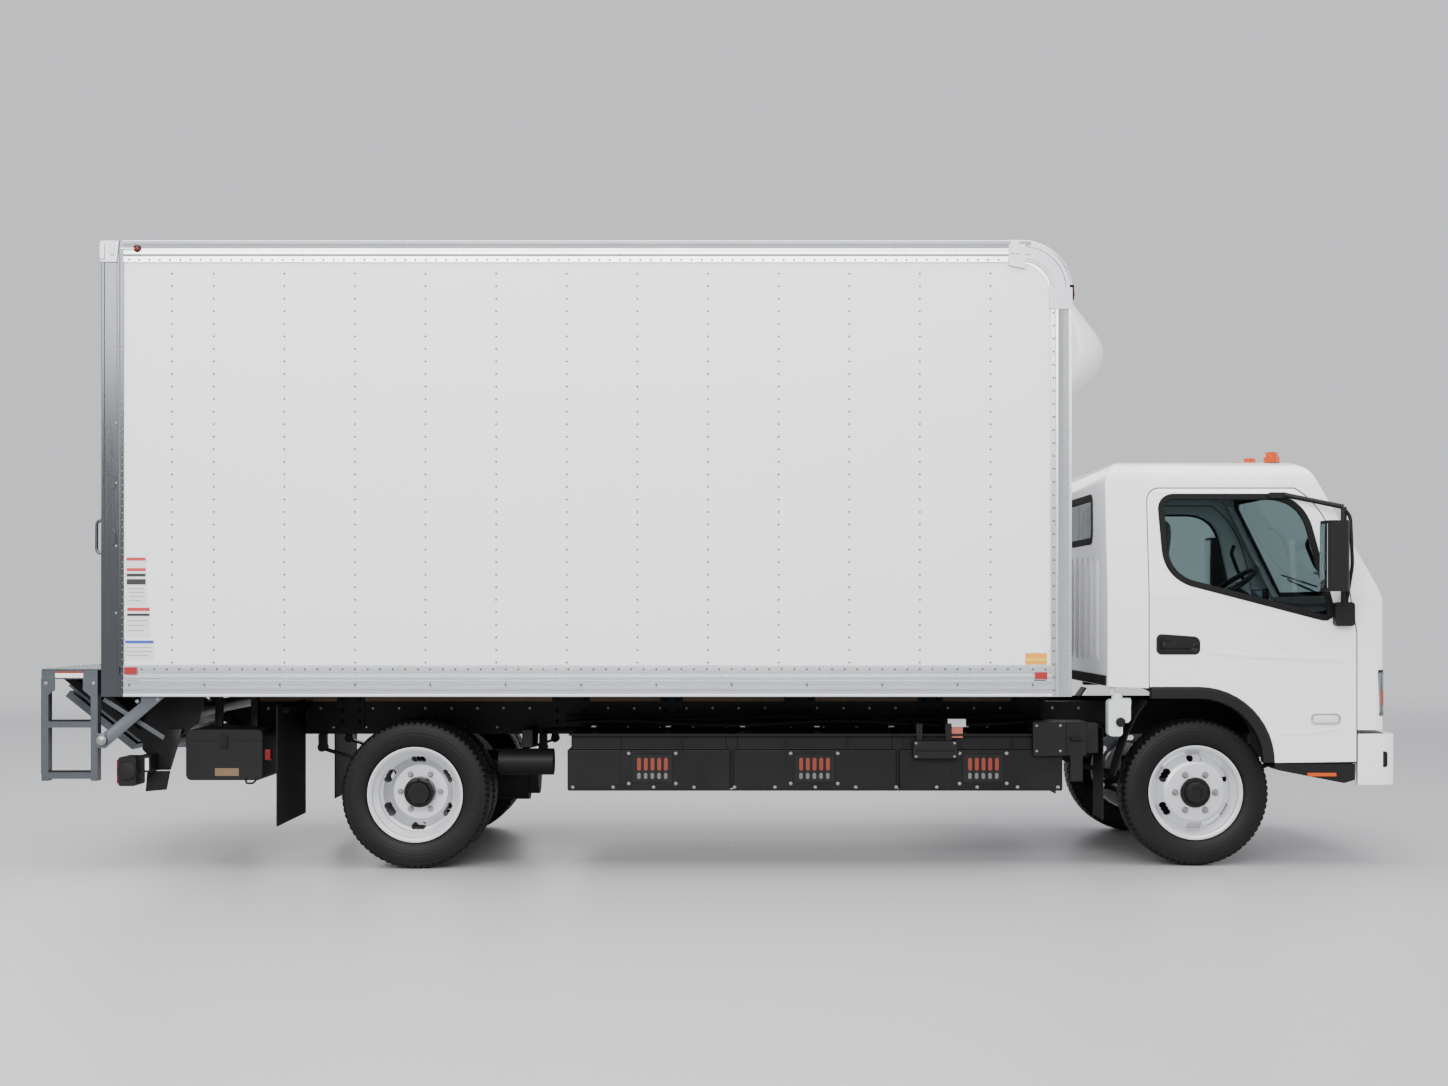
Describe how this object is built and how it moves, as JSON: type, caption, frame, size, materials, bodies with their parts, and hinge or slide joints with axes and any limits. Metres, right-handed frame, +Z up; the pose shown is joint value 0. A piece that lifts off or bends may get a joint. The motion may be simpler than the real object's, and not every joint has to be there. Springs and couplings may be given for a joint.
{
  "type": "box truck",
  "caption": "Cab-over battery box truck with a riveted van body, tilting cab, opening cab doors, steered front wheels, twin rear wheels and a tuck-under lift gate.",
  "frame": {"origin": "on the ground, on the centre line, half way between the rear of the step frames and the front of the bumper", "axes": "+X forward along the truck, +Y to the truck's left, +Z up"},
  "size_m": [7.4498, 2.62, 3.402],
  "materials": {
    "frame_black": "satin black chassis paint",
    "axle_black": "matt black chassis paint",
    "battery_black": "satin black covers",
    "black_plastic": "moulded black, fine grain",
    "tank_plastic": "translucent white blow moulding",
    "rubber_black": "matt rubber",
    "bumper_white": "gloss white",
    "lamp_red": "red lens in a black housing",
    "galvanised": "hot dip galvanised, spangled",
    "deck": "sealed hardwood planks on steel beams",
    "box_white": "gloss white coil-coated sheet",
    "rail_aluminium": "mill finish extrusion",
    "post_steel": "polished stainless",
    "nose_white": "gloss white moulding",
    "knuckle_iron": "raw casting",
    "tyre": "black rubber",
    "wheel_silver": "silver wheel paint",
    "cab_white": "gloss white cab paint",
    "cab_inner": "dark grey trim",
    "glass_tinted": "green-tinted safety glass",
    "lamp_clear": "clear lens over chrome",
    "lamp_amber": "amber lens",
    "seat_cloth": "grey woven cloth"
  },
  "bodies": {
    "chassis": {"frame_rails": "frame_black", "front_axle": "axle_black", "rear_axle": "axle_black", "leaf_springs": "axle_black", "battery_packs": "battery_black", "service_boxes": "black_plastic", "washer_tank": "tank_plastic", "mud_guards": "rubber_black", "front_bumper": "bumper_white", "pump_box": "black_plastic", "lift_mainframe": "frame_black", "tail_lamps": "lamp_red", "step_frames": "galvanised", "dock_plate": "galvanised", "box_floor": "deck", "box_wall_right": "box_white", "box_wall_left": "box_white", "box_wall_front": "box_white", "box_roof": "box_white", "box_rails": "rail_aluminium", "rear_frame": "post_steel", "roll_door": "box_white", "nose_cone": "nose_white"},
    "knuckle_right": {"knuckle_right": "knuckle_iron"},
    "knuckle_left": {"knuckle_left": "knuckle_iron"},
    "tie_rod": {"tie_rod": "axle_black"},
    "front_wheel_right": {"front_tyre_right": "tyre", "front_wheel_right": "wheel_silver"},
    "front_wheel_left": {"front_tyre_left": "tyre", "front_wheel_left": "wheel_silver"},
    "rear_wheels_right": {"rear_tyres_right": "tyre", "rear_wheels_right": "wheel_silver"},
    "rear_wheels_left": {"rear_tyres_left": "tyre", "rear_wheels_left": "wheel_silver"},
    "cab": {"cab_shell": "cab_white", "front_panel": "cab_white", "cab_floor": "cab_inner", "cab_steps": "black_plastic", "arch_flares": "black_plastic", "cab_glass": "glass_tinted", "headlamps": "lamp_clear", "roof_lamps": "lamp_amber", "dashboard": "cab_inner", "seats": "seat_cloth", "steering_wheel": "black_plastic"},
    "door_right": {"door_right": "cab_white", "door_glass_right": "glass_tinted", "mirror_right": "black_plastic"},
    "door_left": {"door_left": "cab_white", "door_glass_left": "glass_tinted", "mirror_left": "black_plastic"},
    "lift_arms": {"lift_arms": "galvanised"},
    "lift_shackle": {"lift_shackle": "galvanised"},
    "lift_platform": {"lift_platform": "frame_black"},
    "lift_flip": {"lift_flip": "frame_black"}
  },
  "joints": [
    {"name": "steer_right", "type": "hinge", "parent": "chassis", "child": "knuckle_right", "pos_m": [2.56, -0.745, 0.4055], "axis": [0, 0, 1], "range_deg": [-35, 35]},
    {"name": "steer_left", "type": "hinge", "parent": "chassis", "child": "knuckle_left", "pos_m": [2.56, 0.745, 0.4055], "axis": [0, 0, 1], "range_deg": [-35, 35]},
    {"name": "tie_rod_swing", "type": "hinge", "parent": "knuckle_right", "child": "tie_rod", "pos_m": [2.41, -0.745, 0.3155], "axis": [0, 0, 1], "range_deg": [-35, 35]},
    {"name": "front_wheel_right_spin", "type": "hinge", "parent": "knuckle_right", "child": "front_wheel_right", "pos_m": [2.56, -0.832, 0.4055], "axis": [0, 1, 0], "continuous": true},
    {"name": "front_wheel_left_spin", "type": "hinge", "parent": "knuckle_left", "child": "front_wheel_left", "pos_m": [2.56, 0.832, 0.4055], "axis": [0, 1, 0], "continuous": true},
    {"name": "rear_wheels_right_spin", "type": "hinge", "parent": "chassis", "child": "rear_wheels_right", "pos_m": [-1.74, -0.825, 0.4055], "axis": [0, 1, 0], "continuous": true},
    {"name": "rear_wheels_left_spin", "type": "hinge", "parent": "chassis", "child": "rear_wheels_left", "pos_m": [-1.74, 0.825, 0.4055], "axis": [0, 1, 0], "continuous": true},
    {"name": "cab_tilt", "type": "hinge", "parent": "chassis", "child": "cab", "pos_m": [3.56, 0, 0.79], "axis": [0, 1, 0], "range_deg": [0, 45]},
    {"name": "door_right_swing", "type": "hinge", "parent": "cab", "child": "door_right", "pos_m": [3.42, -0.997, 1.3], "axis": [0, 0, 1], "range_deg": [0, 70]},
    {"name": "door_left_swing", "type": "hinge", "parent": "cab", "child": "door_left", "pos_m": [3.42, 0.997, 1.3], "axis": [0, 0, -1], "range_deg": [0, 70]},
    {"name": "lift_lower", "type": "hinge", "parent": "chassis", "child": "lift_arms", "pos_m": [-3.215, 0, 0.665], "axis": [0, -1, 0], "range_deg": [0, 121]},
    {"name": "lift_level", "type": "hinge", "parent": "lift_arms", "child": "lift_shackle", "pos_m": [-3.69954, 0, 1.05181], "axis": [0, -1, 0], "range_deg": [-121, 0]},
    {"name": "platform_unfold", "type": "hinge", "parent": "lift_shackle", "child": "lift_platform", "pos_m": [-3.69954, 0, 1.05181], "axis": [0, 1, 0], "range_deg": [-1, 141.4]},
    {"name": "flip_unfold", "type": "hinge", "parent": "lift_platform", "child": "lift_flip", "pos_m": [-3.31523, 0, 0.67336], "axis": [0, -1, 0], "range_deg": [-1.27, 180]}
  ],
  "couplings": [
    {"joint": "steer_left", "follows": "steer_right", "ratio": 1},
    {"joint": "tie_rod_swing", "follows": "steer_right", "ratio": -1},
    {"joint": "lift_level", "follows": "lift_lower", "ratio": -1},
    {"joint": "flip_unfold", "follows": "platform_unfold", "ratio": 1.2729}
  ]
}
